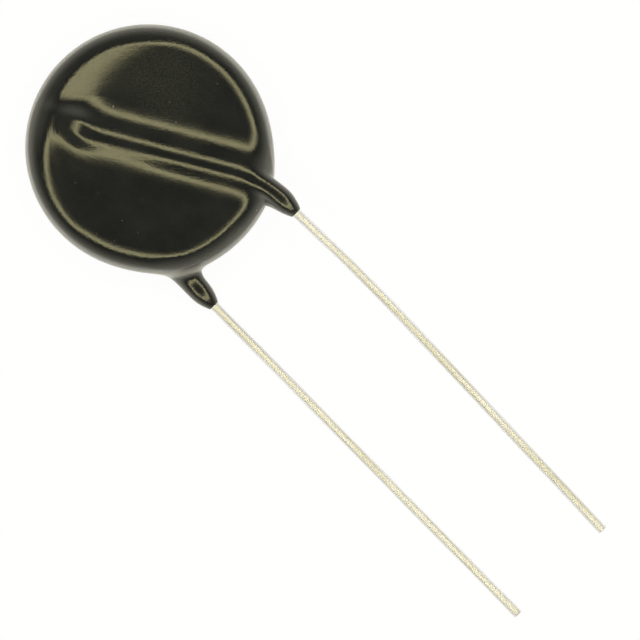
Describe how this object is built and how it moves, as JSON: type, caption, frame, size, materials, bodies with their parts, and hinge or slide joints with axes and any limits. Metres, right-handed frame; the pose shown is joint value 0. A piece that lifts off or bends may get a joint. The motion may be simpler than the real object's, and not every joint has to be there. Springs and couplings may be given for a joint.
{
  "type": "metal oxide varistor",
  "caption": "Radial-lead metal oxide varistor: epoxy-dipped disc with a ridge over the wire on each face, a pool of coat between its legs and long straight leads.",
  "frame": {"origin": "middle of the underside of the part's box, as it lies on its back", "axes": "+Z out of the front face, where the wire with the long bend is; -Y the way the two leads leave; +X the side of the front lead"},
  "size_m": [0.0206, 0.0598, 0.0049],
  "materials": {
    "epoxy_coat": "gloss",
    "zinc_oxide": "matte",
    "fired_silver": "satin",
    "solder": "satin",
    "tinned_wire": "satin"
  },
  "bodies": {
    "root": {"coating": "epoxy_coat", "ceramic_disc": "zinc_oxide", "front_electrode": "fired_silver", "rear_electrode": "fired_silver", "front_solder": "solder", "rear_solder": "solder", "front_lead": "tinned_wire", "rear_lead": "tinned_wire"}
  },
  "joints": []
}
